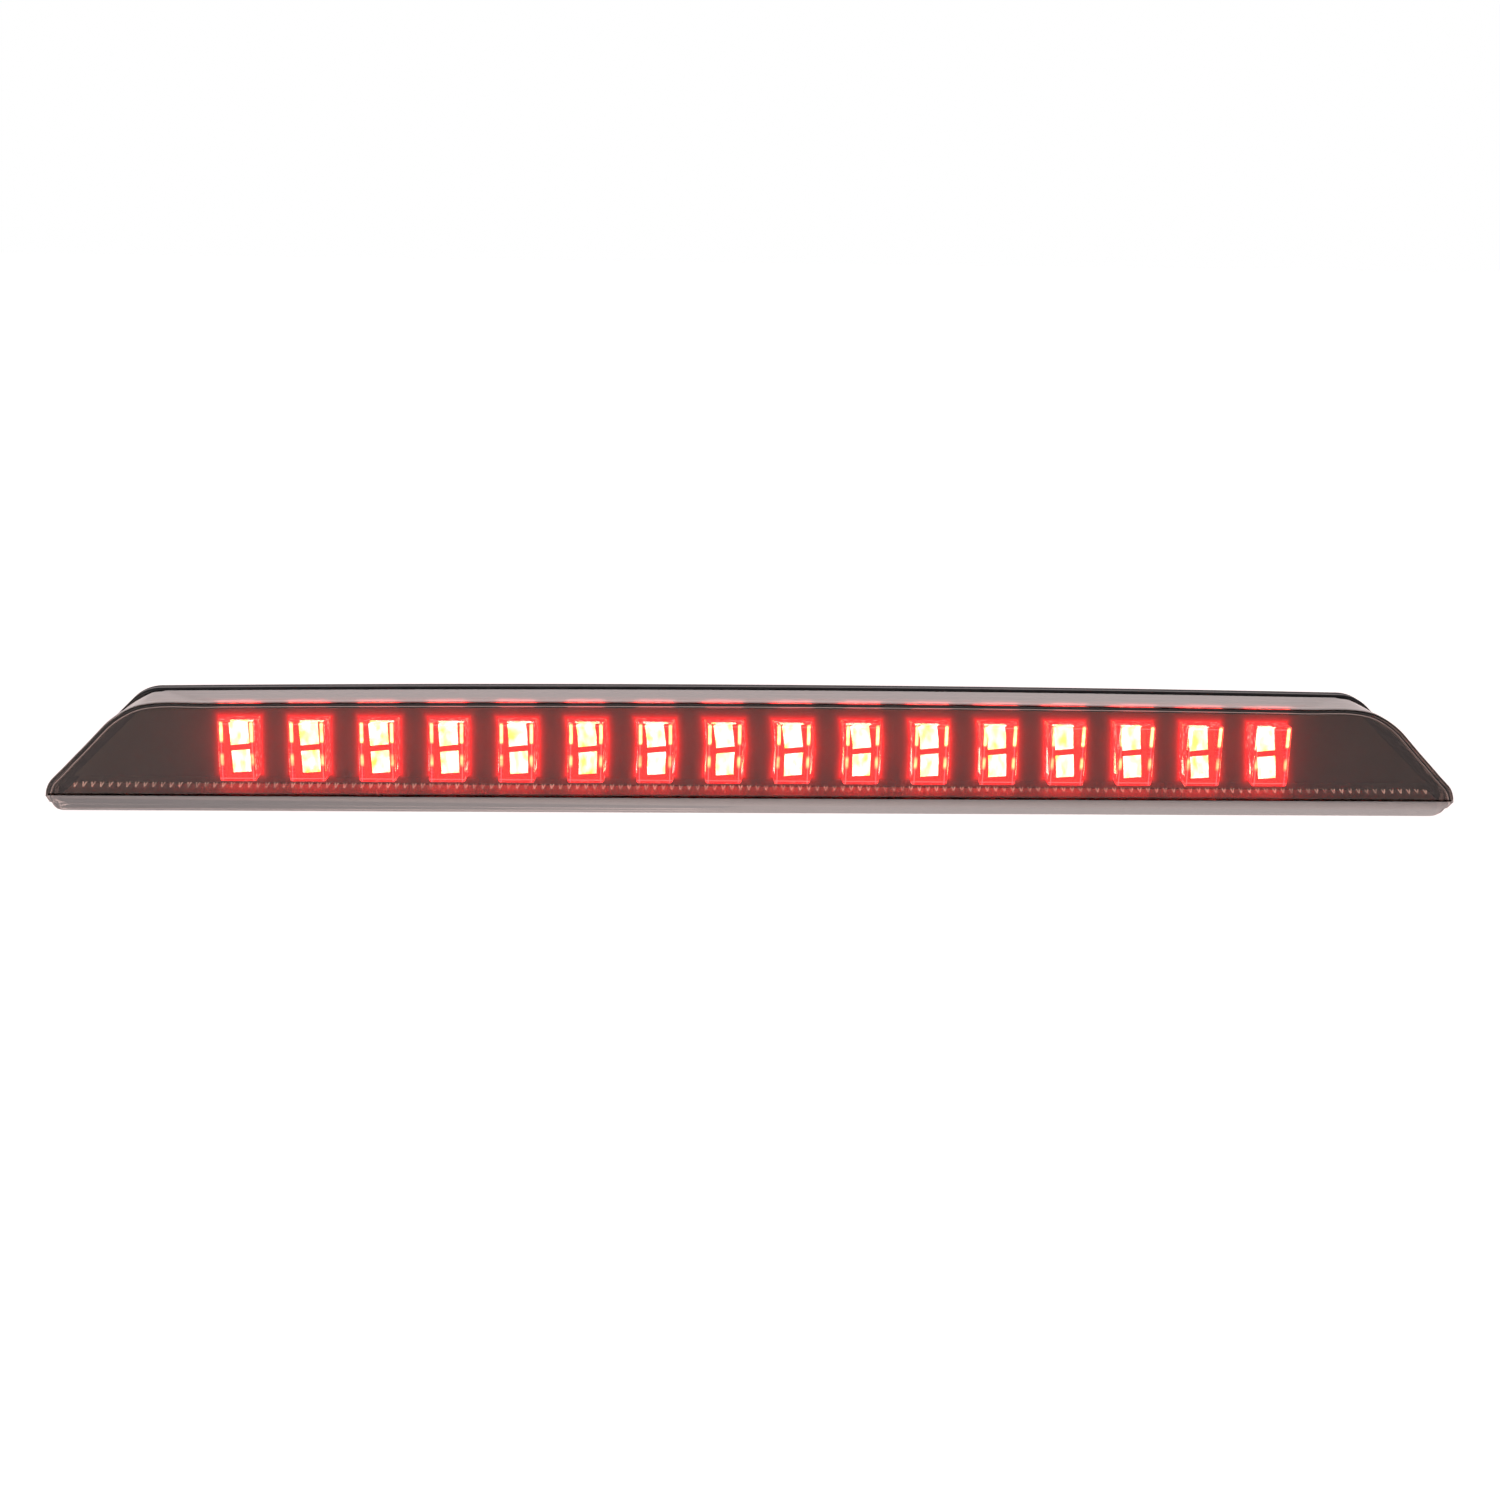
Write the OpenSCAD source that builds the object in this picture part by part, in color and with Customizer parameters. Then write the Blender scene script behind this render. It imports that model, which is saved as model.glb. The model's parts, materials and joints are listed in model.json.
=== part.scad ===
// High-mount third brake light: smoked lens, black tray, sixteen lit cells.
// X runs along the lamp, the lit face looks towards -Y and +Z is up.
// The origin is midway between the two mounting studs, on the gasket's rear face.

/* [Lamp body] */
// Length from tip to tip
lamp_len = 410; // [400:1:500]
// Height of the front face above its lower edge, at the middle
face_h = 29.6; // [28:0.1:38]
// How far the top of the face leans forward of its lower edge
face_lean = 11; // [8:0.5:13]
// Depth of the bottom wall, from the face's lower edge to the lens's rear edge
wall_depth = 14.7; // [14:0.1:20]
// Drop of the bottom wall towards the rear
keel_drop = 7; // [5:0.1:9]
// Angle of the slanted ends
end_angle = 45; // [42:1:48]
// Radius of the two tips
tip_r = 7; // [6:0.5:9]
// Radius at each upper corner of the face
brow_r = 25; // [20:1:30]
// Long radius that carries each upper corner into the top edge
sweep_r = 90; // [70:1:110]
// Radius of the long crown of the top edge
crown_r = 12000; // [9000:500:30000]
// Radius of the upper corners of the lens skirt
skirt_r = 12; // [10:0.5:14]
// Rise of the skirt above the face's top edge
skirt_rise = 0.5; // [0:0.1:1]
// Radius of the lower corners
keel_r = 5; // [3:0.5:6]
// Inward step from the tips down to the lower corners
tuck = 0.8; // [0:0.1:2]

/* [Lens] */
// Wall thickness of the lens
lens_wall = 2.5; // [2:0.1:3.2]
// Depth of the proud front cap
cap_depth = 5; // [4:0.1:7]
// How far the cap stands out from the skirt
cap_proud = 0.3; // [0.1:0.1:0.6]

/* [Tray and gasket] */
// Thickness of the foam gasket
gasket_t = 3; // [2:0.1:5]
// Thickness of the tray floor
floor_t = 2.5; // [2:0.1:3.5]
// How far the tray floor stands out past the lens skirt
floor_proud = 0.5; // [0.3:0.1:0.8]
// Thickness of the sealing bead under the lens edge
bead_t = 0.8; // [0.5:0.1:1.2]
// Thickness of the tray's locating rib
rib_t = 1.8; // [1.5:0.1:2.4]
// Height of the locating rib above the tray floor
rib_h = 2.6; // [2:0.1:2.8]
// Side clearance of parts that slot together
fit = 0.3; // [0.2:0.05:0.4]

/* [Optics] */
// Number of lit cells
cells = 16; // [8:2:16]
// Distance between cells
cell_pitch = 20; // [16.5:0.1:20.5]
// Height of the cell centres above the face's lower edge
cell_up = 15; // [14.5:0.1:17]
// Width of an optic block at the bezel
block_w = 11.8; // [9:0.1:12]
// Height of an optic block
block_h = 18.5; // [14:0.1:19]
// Width of an optic block at its front face
block_face_w = 10.4; // [8:0.1:11]
// Gap between the blocks' front faces and the lens
block_gap = 2.2; // [1.5:0.1:4]
// Lip of the flange that holds a block behind the bezel
block_lip = 0.8; // [0.5:0.1:1]
// Thickness of that flange
block_flange_t = 1; // [0.8:0.1:1.5]
// Clearance of a block in its bezel window
window_fit = 0.2; // [0.1:0.05:0.3]
// Thickness of the bezel
bezel_t = 1.2; // [1:0.1:2]
// Gap between the bezel's edge and the lens
bezel_gap = 0.8; // [0.5:0.1:1.2]
// Thickness of the reflector plate
plate_t = 1.6; // [1.5:0.1:2.4]
// Width of an LED package
led_w = 5.2; // [3:0.1:6]
// Height of an LED package
led_h = 7; // [5:0.1:7.5]
// Thickness of an LED package
led_t = 1.4; // [0.8:0.1:1.4]
// Distance between the two LED packages of a cell
led_step = 8.2; // [7.6:0.1:8.6]
// Spacing of the teeth on the prism strip
tooth_pitch = 2.5; // [2:0.1:4]
// Height of a tooth
tooth_h = 1.2; // [0.8:0.1:1.6]
// Width of a tooth at its foot
tooth_w = 1.4; // [1:0.1:1.8]

/* [Circuit board] */
// Thickness of the circuit board
board_t = 1.6; // [1:0.1:2]
// Gap between the board and the tray floor
post_h = 1.3; // [1:0.1:2]
// Board left over beyond the last cell at each end
board_end = 18; // [16:0.5:20]

/* [Mounting] */
// Radius of a mounting stud
stud_r = 2.5; // [2:0.5:3]
// Extra radius of the stud's splined neck in the tray floor
stud_neck = 0.7; // [0.5:0.1:1]
// Distance from a tip to its stud
stud_inset = 25; // [23:0.5:26]
// Height of the studs above the face's lower edge
stud_up = 9; // [8.5:0.1:10]
// Stud length behind the gasket
stud_len = 16; // [10:1:30]
// Radius of a stud's captive head
stud_head_r = 5.5; // [4.5:0.1:6]
// Thickness of a stud's captive head
stud_head_t = 2.2; // [1.5:0.1:2.4]
// Plastic around a stud's head
boss_wall = 2; // [1.5:0.1:2.2]

/* [Connector] */
// Gap between cells that holds the connector, counted from the middle one
socket_gap = 3; // [3, 5]
// Inside width of the connector socket
socket_w = 16; // [12:0.5:18]
// Inside height of the connector socket
socket_h = 10; // [9.6:0.2:12]
// Depth of the connector socket
socket_depth = 11; // [9:0.5:14]
// Wall thickness of the connector socket
socket_wall = 1.5; // [1:0.1:2]
// Reach of the socket's rim behind the gasket
socket_reach = 10; // [6:0.5:12]
// Width of a terminal blade
blade_w = 1.5; // [1:0.1:2.8]
// Thickness of a terminal blade
blade_t = 0.8; // [0.6:0.1:1]
// Spacing of the terminal blades
blade_pitch = 5; // [4:0.5:6]

/* [Fasteners and vent] */
// Radius of the thread-forming bezel screws
bezel_screw_r = 1.1; // [0.9:0.1:1.3]
// Radius of the bezel's screw pillars
pillar_r = 2.5; // [2.2:0.1:2.6]
// Radius of the board screws
board_screw_r = 0.9; // [0.8:0.1:1.1]
// Radius of the pads under the board screws
pad_r = 2.5; // [2:0.1:2.8]
// Radius of the screw heads
head_r = 2.3; // [2:0.1:2.4]
// Height of the screw heads
head_t = 1.3; // [1:0.1:1.5]
// Gap between cells that holds the vent, counted from the middle one
vent_gap = -3; // [-3, -5]
// Radius of the vent plug's cap
vent_r = 4; // [3:0.5:5]

/* [Hidden] */

$fn = 48;
arc_steps = 10;
eps = 0.01;

half_len = lamp_len / 2;
lean_angle = atan(face_lean / face_h);
keel_angle = atan(keel_drop / wall_depth);
corner_turn = 75;

// Places along Y, from the mounting face forward
y_floor_back = -gasket_t;
y_floor = y_floor_back - floor_t;
y_lens = y_floor - bead_t;
y_board_back = y_floor - post_h;
y_board = y_board_back - board_t;
y_plate = y_board - plate_t;
y_flange = y_plate - block_flange_t;
y_bezel = y_flange - bezel_t;
y_crease = y_lens - wall_depth;
y_brow = y_crease - face_lean;

// Places along Z
z_crease = -stud_up;
z_keel = z_crease - keel_drop;
z_cap = z_crease + face_h;
z_skirt = z_cap + skirt_rise;
z_cell = z_crease + cell_up;
flange_h = block_h + 2 * block_lip;
flange_w = block_w + 2 * block_lip;
z_bezel_low = z_cell - block_h / 2 - 1.15;

// Places along X
cells_half = (cells - 1) / 2 * cell_pitch;
board_half = cells_half + board_end;
plate_half = cells_half + flange_w / 2 + 0.8;
stud_x = half_len - stud_inset;
end_pad_x = board_half - 3.5;
end_pillar_x = stud_x - 6;
socket_x = socket_gap * cell_pitch;
vent_x = vent_gap * cell_pitch;

// Bounds above and below the whole lamp
z_low = z_keel - lens_wall;
z_high = z_skirt + lens_wall;

// Ends of the screws and the front of the stud bosses
y_board_tip = y_floor_back - 1;
y_bezel_tip = y_flange + 1.2;
y_boss = y_floor - stud_head_t - boss_wall;
stud_tip = 0.8;
slot_len = 2.6;
slot_w = 0.6;

// Connector and vent
shroud_w = socket_w + 2 * socket_wall;
shroud_h = socket_h + 2 * socket_wall;
seal_w = shroud_w + 4;
seal_h = shroud_h + 4;
vent_stem_r = vent_r - 1.6;
gasket_gap = 2;
well_gap = 1.8;

// Prism strip
strip_d = lens_wall + 0.4;
strip_toe = meet(strip_d, 0);
strip_lip = [face_y(strip_toe[1] + 1.2, strip_d), strip_toe[1] + 1.2];
strip_root = 0.6;
tooth_back = 0.8;

// Room inside the locating rib
rib_in = lens_wall + fit + rib_t;
crown_fall = crown_r - sqrt(crown_r * crown_r - board_half * board_half);
z_board_top = z_skirt - crown_fall - rib_in - fit;
z_board_low = bottom_z(y_board, rib_in) + fit;
pad_low = z_board_low + 4;
pad_high = z_board_top - 4;
pillar_high = z_cell + 6;

function cell_name(word, i) = str(word, "_", i < 10 ? "0" : "", i);
function cell_x(i) = (i - (cells + 1) / 2) * cell_pitch;
function unit(a) = [cos(a), sin(a)];
function arc(c, r, a0, a1) = [for (k = [0:arc_steps]) c + r * unit(a0 + (a1 - a0) * k / arc_steps)];
function flip(p) = [for (k = [len(p) - 1:-1:0]) [-p[k][0], p[k][1]]];

// Face and bottom wall as sloping lines, moved inward by d
function face_y(z, d) = y_crease - (z - z_crease) * face_lean / face_h + d / cos(lean_angle);
function bottom_z(y, d) = z_crease - (y - y_crease) * keel_drop / wall_depth + d / cos(keel_angle);

// Where the crown meets the long corner sweep, found by repeated correction
function crown_z(x, top) = top - crown_r + sqrt(crown_r * crown_r - x * x);
function end_offset(r1, r2, x) =
    [half_len - tip_r, z_crease] * unit(end_angle) + tip_r - r1
    + r2 * unit(90 - asin(x / crown_r)) * unit(end_angle)
    - (r2 - r1) * unit(corner_turn) * unit(end_angle);
function crown_end(x, top, r1, r2, tries) =
    tries == 0 ? x
    : crown_end((end_offset(r1, r2, x) - crown_z(x, top) * sin(end_angle)) / cos(end_angle),
                top, r1, r2, tries - 1);

// Half of the front outline, from the lower corner round the tip to the middle of the top
function half_outline(d, top, r1, r2) =
    let (x = crown_end(half_len - 40, top, r1, r2, 4),
         turn = 90 - asin(x / crown_r),
         sweep_c = [x, crown_z(x, top)] - r2 * unit(turn),
         brow_c = sweep_c + (r2 - r1) * unit(corner_turn),
         low_r = max(keel_r - d, fit))
    concat(arc([half_len - tuck - d - low_r, z_keel + d + low_r], low_r, -90, 0),
           arc([half_len - tip_r, z_crease], tip_r - d, 0, end_angle),
           arc(brow_c, r1 - d, end_angle, corner_turn),
           arc(sweep_c, r2 - d, corner_turn, turn),
           arc([0, top - crown_r], crown_r - d, turn, 90));
function outline(d, top, r1, r2) =
    let (right = half_outline(d, top, r1, r2)) concat(right, flip(right));
function cap_outline(d) = outline(d, z_cap, brow_r, sweep_r);
function skirt_outline(d) = outline(d + cap_proud, z_skirt + cap_proud, skirt_r, skirt_r);
function floor_outline(d) = outline(d + cap_proud, z_skirt + cap_proud + floor_proud, skirt_r, skirt_r);

// Where the face line, set back by s, meets the bottom line, both moved inward by d
function meet_z(d, s) =
    z_crease + (bottom_z(face_y(z_crease, d) + s, d) - z_crease)
    / (1 - face_lean / face_h * keel_drop / wall_depth);
function meet(d, s) = [face_y(meet_z(d, s), d) + s, meet_z(d, s)];

module along_y(y0, y1) {
    translate([0, y1, 0]) rotate([90, 0, 0]) linear_extrude(y1 - y0) children();
}
module along_x(x0, x1) {
    translate([x0, 0, 0]) rotate([90, 0, 90]) linear_extrude(x1 - x0) children();
}
module rod(x, z, r, y0, y1) {
    translate([x, y1, z]) rotate([90, 0, 0]) cylinder(r = r, h = y1 - y0);
}
module brick(x, w, y0, y1, z, h) {
    translate([x - w / 2, y0, z - h / 2]) cube([w, y1 - y0, h]);
}

// Everything behind the face and above the bottom wall, moved inward by d
module side_cut(d, y_back, set_back = 0) {
    along_x(-half_len, half_len)
        polygon([meet(d, set_back), [y_back, bottom_z(y_back, d)], [y_back, z_high],
                 [face_y(z_high, d) + set_back, z_high]]);
}
module cap_room(d, y_back) {
    intersection() {
        along_y(y_brow - lens_wall, y_back) polygon(cap_outline(d));
        side_cut(d, y_back);
    }
}
module skirt_room(d, y_back, set_back = 0) {
    intersection() {
        along_y(y_brow - lens_wall, y_back) polygon(skirt_outline(d));
        side_cut(d, y_back, set_back);
    }
}
module at_board_screws() {
    for (side = [-1, 1], z = [pad_low, pad_high]) translate([side * end_pad_x, 0, z]) children();
    for (side = [-1, 1]) translate([side * 2 * cell_pitch, 0, z_cell]) children();
}
module at_bezel_screws() {
    for (side = [-1, 0, 1]) translate([side * 4 * cell_pitch, 0, z_cell]) children();
    for (side = [-1, 1]) translate([side * end_pillar_x, 0, pillar_high]) children();
}
module cross_slot(y0, y1) {
    brick(0, slot_len, y0, y1, 0, slot_w);
    brick(0, slot_w, y0, y1, 0, slot_len);
}

module outer_lens() {
    color([0.24, 0.2, 0.19, 0.6])
    difference() {
        union() {
            intersection() {
                cap_room(0, y_lens);
                along_x(-half_len, half_len)
                    polygon([[face_y(z_low, 0) - 1, z_low], [face_y(z_low, 0) + cap_depth, z_low],
                             [face_y(z_high, 0) + cap_depth, z_high], [face_y(z_high, 0) - 1, z_high]]);
            }
            skirt_room(0, y_lens, cap_depth - eps);
        }
        cap_room(lens_wall, y_lens + 1);
        skirt_room(lens_wall, y_lens + 1, cap_depth);
    }
}

module lens_seal() {
    color("dimgray")
    difference() {
        along_y(y_lens, y_floor) polygon(skirt_outline(fit));
        along_y(y_lens - 1, y_floor + 1) polygon(skirt_outline(lens_wall));
    }
}

module locating_rib() {
    difference() {
        intersection() {
            along_y(y_floor - rib_h, y_floor + eps) polygon(skirt_outline(lens_wall + fit));
            side_cut(lens_wall + fit, y_floor + 1);
        }
        skirt_room(rib_in, y_floor + 1);
    }
}
module housing() {
    color([0.1, 0.1, 0.1])
    difference() {
        union() {
            along_y(y_floor, y_floor_back) polygon(floor_outline(0));
            locating_rib();
            for (side = [-1, 1])
                rod(side * stud_x, 0, stud_head_r + boss_wall, y_boss, y_floor + eps);
            at_board_screws() rod(0, 0, pad_r, y_board_back, y_floor + eps);
        }
        for (side = [-1, 1]) {
            rod(side * stud_x, 0, stud_head_r, y_floor - stud_head_t, y_floor);
            rod(side * stud_x, 0, stud_r + stud_neck, y_floor - 1, y_floor_back + 1);
        }
        at_board_screws() rod(0, 0, board_screw_r, y_board_back - 1, y_board_tip);
        at_bezel_screws() rod(0, 0, bezel_screw_r + fit, y_floor - 1, y_floor_back + 1);
        brick(socket_x, shroud_w, y_floor - 1, y_floor_back + 1, z_cell, shroud_h);
        rod(vent_x, z_cell, vent_stem_r, y_floor - 1, y_floor_back + 1);
    }
}

module mounting_gasket() {
    color([0.13, 0.13, 0.13])
    difference() {
        along_y(y_floor_back, 0) polygon(floor_outline(0));
        for (side = [-1, 1]) rod(side * stud_x, 0, stud_r + gasket_gap, y_floor_back - 1, 1);
        at_bezel_screws() rod(0, 0, head_r + gasket_gap / 2, y_floor_back - 1, 1);
        brick(socket_x, seal_w + fit, y_floor_back - 1, 1, z_cell, seal_h + fit);
        rod(vent_x, z_cell, vent_r + gasket_gap / 2, y_floor_back - 1, 1);
    }
}

module inner_bezel() {
    color([0.3, 0.25, 0.23])
    difference() {
        union() {
            intersection() {
                along_y(y_bezel, y_flange) polygon(skirt_outline(lens_wall + bezel_gap));
                brick(0, lamp_len, y_bezel, y_flange, z_bezel_low + face_h / 2, face_h);
            }
            at_bezel_screws() rod(0, 0, pillar_r, y_flange - eps, y_floor);
        }
        for (i = [1:cells])
            brick(cell_x(i), block_w + 2 * window_fit, y_bezel - 1, y_flange + 1,
                  z_cell, block_h + 2 * window_fit);
        at_bezel_screws() rod(0, 0, bezel_screw_r, y_bezel_tip, y_floor + 1);
    }
}

// The prism strip's slanting top runs from its front lip up to the bezel's lower edge
module prism_strip() {
    color([0.38, 0.32, 0.29])
    intersection() {
        union() {
            along_x(-half_len, half_len)
                polygon([strip_toe, strip_lip, [y_bezel, z_bezel_low], [y_flange, z_bezel_low],
                         [y_flange, bottom_z(y_flange, strip_d)]]);
            along_y(strip_lip[0] + tooth_back, strip_lip[0] + tooth_back + tooth_h) polygon(tooth_row());
        }
        along_y(y_brow, y_floor) polygon(cap_outline(lens_wall + bezel_gap));
    }
}
function tooth_row() =
    let (count = floor(2 * (half_len - tip_r) / tooth_pitch), foot = strip_lip[1], tip = foot + tooth_h)
    concat([for (k = [0:count - 1], p = [[-0.5, foot], [0, tip], [0.5, foot]])
                [(k - (count - 1) / 2) * tooth_pitch + p[0] * tooth_w, p[1]]],
           [[half_len - tip_r, foot - strip_root], [tip_r - half_len, foot - strip_root]]);

module reflector_plate() {
    color([0.85, 0.85, 0.83])
    difference() {
        brick(0, 2 * plate_half, y_plate, y_board, z_cell, flange_h);
        for (i = [1:cells])
            brick(cell_x(i), led_w + 2 * well_gap, y_plate - 1, y_board + 1,
                  z_cell, led_step + led_h + 2 * well_gap);
        for (side = [-1, 0, 1])
            rod(side * 4 * cell_pitch, z_cell, pillar_r + fit, y_plate - 1, y_board + 1);
        for (side = [-1, 1]) rod(side * 2 * cell_pitch, z_cell, head_r + fit, y_plate - 1, y_board + 1);
        brick(socket_x, blade_pitch + blade_w + 2, y_plate - 1, y_board + 1, z_cell, blade_t + 2);
    }
}

module circuit_board() {
    color([0.1, 0.35, 0.2])
    difference() {
        brick(0, 2 * board_half, y_board, y_board_back, (z_board_top + z_board_low) / 2,
              z_board_top - z_board_low);
        for (side = [-1, 0, 1])
            rod(side * 4 * cell_pitch, z_cell, pillar_r + fit, y_board - 1, y_board_back + 1);
        at_board_screws() rod(0, 0, board_screw_r + fit / 2, y_board - 1, y_board_back + 1);
        blades(y_board - 1, y_board_back + 1);
    }
}
module blades(y0, y1) {
    for (side = [-1, 1]) brick(socket_x + side * blade_pitch / 2, blade_w, y0, y1, z_cell, blade_t);
}

// Surface-mounted parts: a moulded body over two or more flat leads
module board_resistors() {
    color([0.15, 0.15, 0.16])
    for (i = [1:cells]) brick(cell_x(i), 3.2, y_board - 0.6, y_board, z_board_low + 2.6, 1.6);
}
module driver_chip() {
    color([0.12, 0.12, 0.13]) {
        brick(end_pad_x, 3.9, y_board - 1.5, y_board - 0.15, z_cell - 3, 4.9);
        for (k = [-1.5:1:1.5]) brick(end_pad_x, 6, y_board - 0.4, y_board, z_cell - 3 + k * 1.27, 0.45);
    }
}
module input_diode() {
    color([0.12, 0.12, 0.13]) {
        brick(-end_pad_x, 2.6, y_board - 2, y_board - 0.1, z_cell - 1, 3.8);
        brick(-end_pad_x, 1.5, y_board - 0.6, y_board, z_cell - 1, 4.8);
    }
}
module smoothing_capacitor() {
    color([0.72, 0.6, 0.42])
    brick(-end_pad_x, 4.5, y_board - 1.9, y_board, z_cell - 6.5, 3.2);
}

module connector_socket() {
    color([0.08, 0.08, 0.09])
    difference() {
        union() {
            brick(socket_x, shroud_w + 3, y_board_back, y_floor, z_cell, shroud_h + 3);
            brick(socket_x, shroud_w, y_board_back, socket_reach, z_cell, shroud_h);
            brick(socket_x, 4, socket_reach - 4, socket_reach - 1.5, z_cell + shroud_h / 2, 2);
        }
        brick(socket_x, socket_w, socket_reach - socket_depth, socket_reach + 1, z_cell, socket_h);
        blades(y_board_back - 1, socket_reach);
    }
}
module terminal_pins() {
    color([0.8, 0.78, 0.7]) blades(y_board - 0.8, socket_reach - 5);
}
module socket_seal() {
    color([0.16, 0.16, 0.17])
    difference() {
        brick(socket_x, seal_w, y_floor_back, -fit, z_cell, seal_h);
        brick(socket_x, shroud_w, y_floor_back - 1, 1, z_cell, shroud_h);
    }
}

module mounting_stud(side) {
    color([0.72, 0.73, 0.75]) {
        rod(side * stud_x, 0, stud_head_r, y_floor - stud_head_t, y_floor);
        rod(side * stud_x, 0, stud_r + stud_neck, y_floor - eps, y_floor_back);
        rod(side * stud_x, 0, stud_r, y_floor_back - eps, stud_len - stud_tip);
        translate([side * stud_x, stud_len, 0]) rotate([90, 0, 0])
            cylinder(r1 = stud_r - stud_tip, r2 = stud_r, h = stud_tip + eps);
    }
}

module vent_plug() {
    color([0.2, 0.2, 0.22]) {
        rod(vent_x, z_cell, vent_r, y_floor_back, y_floor_back + 1.8);
        rod(vent_x, z_cell, vent_stem_r, y_floor - 0.8, y_floor_back + eps);
        rod(vent_x, z_cell, vent_stem_r + 0.6, y_floor - 0.8, y_floor);
    }
}

module board_screws() {
    color([0.7, 0.7, 0.72])
    at_board_screws() {
        difference() {
            rod(0, 0, head_r, y_board - head_t, y_board);
            cross_slot(y_board - head_t - 1, y_board - head_t / 2);
        }
        rod(0, 0, board_screw_r, y_board - eps, y_board_tip);
    }
}
module bezel_screws() {
    color([0.7, 0.7, 0.72])
    at_bezel_screws() {
        difference() {
            rod(0, 0, head_r, y_floor_back, y_floor_back + head_t);
            cross_slot(y_floor_back + head_t / 2, y_floor_back + head_t + 1);
        }
        rod(0, 0, bezel_screw_r, y_bezel_tip, y_floor_back + eps);
    }
}

// A clear red block: a leaning, slightly tapered nose on a flange that sits behind the bezel
module block_nose() {
    z0 = z_cell - block_h / 2;
    z1 = z_cell + block_h / 2;
    nose = face_y(z1, lens_wall) + block_gap;
    intersection() {
        along_x(-block_w, block_w)
            polygon([[y_plate, z0], [face_y(z0, lens_wall) + block_gap, z0], [nose, z1], [y_plate, z1]]);
        translate([0, 0, z0]) linear_extrude(block_h)
            polygon([[-block_w / 2, y_plate], [-block_w / 2, y_bezel], [-block_face_w / 2, nose],
                     [block_face_w / 2, nose], [block_w / 2, y_bezel], [block_w / 2, y_plate]]);
    }
}
module optic_block(i) {
    color([0.9, 0.1, 0.08])
    difference() {
        translate([cell_x(i), 0, 0]) {
            brick(0, flange_w, y_flange, y_plate, z_cell, flange_h);
            block_nose();
        }
        at_bezel_screws() rod(0, 0, pillar_r + fit, y_flange, y_plate + 1);
    }
}
module led_pair(i) {
    color([1, 0.95, 0.7])
    for (step = [-0.5, 0.5])
        brick(cell_x(i), led_w, y_board - led_t, y_board, z_cell + step * led_step, led_h);
}

outer_lens();
lens_seal();
housing();
mounting_gasket();
inner_bezel();
prism_strip();
reflector_plate();
circuit_board();
board_resistors();
driver_chip();
input_diode();
smoothing_capacitor();
connector_socket();
terminal_pins();
socket_seal();
mounting_stud(-1);  // mounting_stud_left
mounting_stud(1);  // mounting_stud_right
vent_plug();
board_screws();
bezel_screws();
for (i = [1:cells]) {
    optic_block(i);
    led_pair(i);
}
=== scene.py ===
# %% [markdown]
# # A smoked third brake light
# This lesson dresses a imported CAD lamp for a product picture. The lamp is a long wedge-ended
# box: a smoked lens in front, a dark bezel with sixteen lit blocks inside it, and a black
# tray with a foam gasket, two studs and a connector behind. The CAD model fixes every place
# and size; here each visible piece gets its fine shape and its finish.

# %% The frame and its measurements
import json
import math

import bmesh
import bpy
from mathutils import Matrix, Vector


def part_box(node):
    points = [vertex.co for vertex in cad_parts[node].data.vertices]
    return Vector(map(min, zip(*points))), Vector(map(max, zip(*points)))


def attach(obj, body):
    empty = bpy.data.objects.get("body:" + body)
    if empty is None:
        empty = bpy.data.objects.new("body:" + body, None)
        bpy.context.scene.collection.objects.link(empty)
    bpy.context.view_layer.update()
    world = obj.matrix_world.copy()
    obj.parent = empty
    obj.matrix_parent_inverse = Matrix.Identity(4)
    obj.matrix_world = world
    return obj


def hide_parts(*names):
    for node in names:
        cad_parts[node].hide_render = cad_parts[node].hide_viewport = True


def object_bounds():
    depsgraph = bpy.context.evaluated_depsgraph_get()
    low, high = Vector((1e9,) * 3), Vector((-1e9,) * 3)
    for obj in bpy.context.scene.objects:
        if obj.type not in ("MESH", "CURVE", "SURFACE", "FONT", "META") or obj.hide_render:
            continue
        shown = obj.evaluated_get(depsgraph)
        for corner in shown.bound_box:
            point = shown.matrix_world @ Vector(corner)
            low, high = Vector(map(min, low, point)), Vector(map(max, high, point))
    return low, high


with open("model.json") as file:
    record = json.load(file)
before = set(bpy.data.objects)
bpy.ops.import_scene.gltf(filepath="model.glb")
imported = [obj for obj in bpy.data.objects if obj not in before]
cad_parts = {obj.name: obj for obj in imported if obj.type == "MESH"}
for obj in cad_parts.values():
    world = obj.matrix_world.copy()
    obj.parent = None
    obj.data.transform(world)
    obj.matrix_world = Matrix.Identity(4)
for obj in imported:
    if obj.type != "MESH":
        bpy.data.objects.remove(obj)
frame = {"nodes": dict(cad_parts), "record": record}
cad_low, cad_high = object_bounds()
MM = 0.001
print("CAD box in mm:", [round(v / MM, 1) for v in (*cad_low, *cad_high)])

# %% [markdown]
# ## Driving sizes
# Most places come from the boxes of the CAD nodes. A few shape values, such as the height of
# the face and the corner radii, aren't in any box, so they stand here once.

# %% Places read from the frame
lens_low, lens_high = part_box("outer_lens")
bezel_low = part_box("inner_bezel")[0]
gasket_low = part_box("mounting_gasket")[0]
block_low, block_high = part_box("optic_block_01")
CELLS = sum(name.startswith("optic_block_") for name in frame["nodes"])

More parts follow.
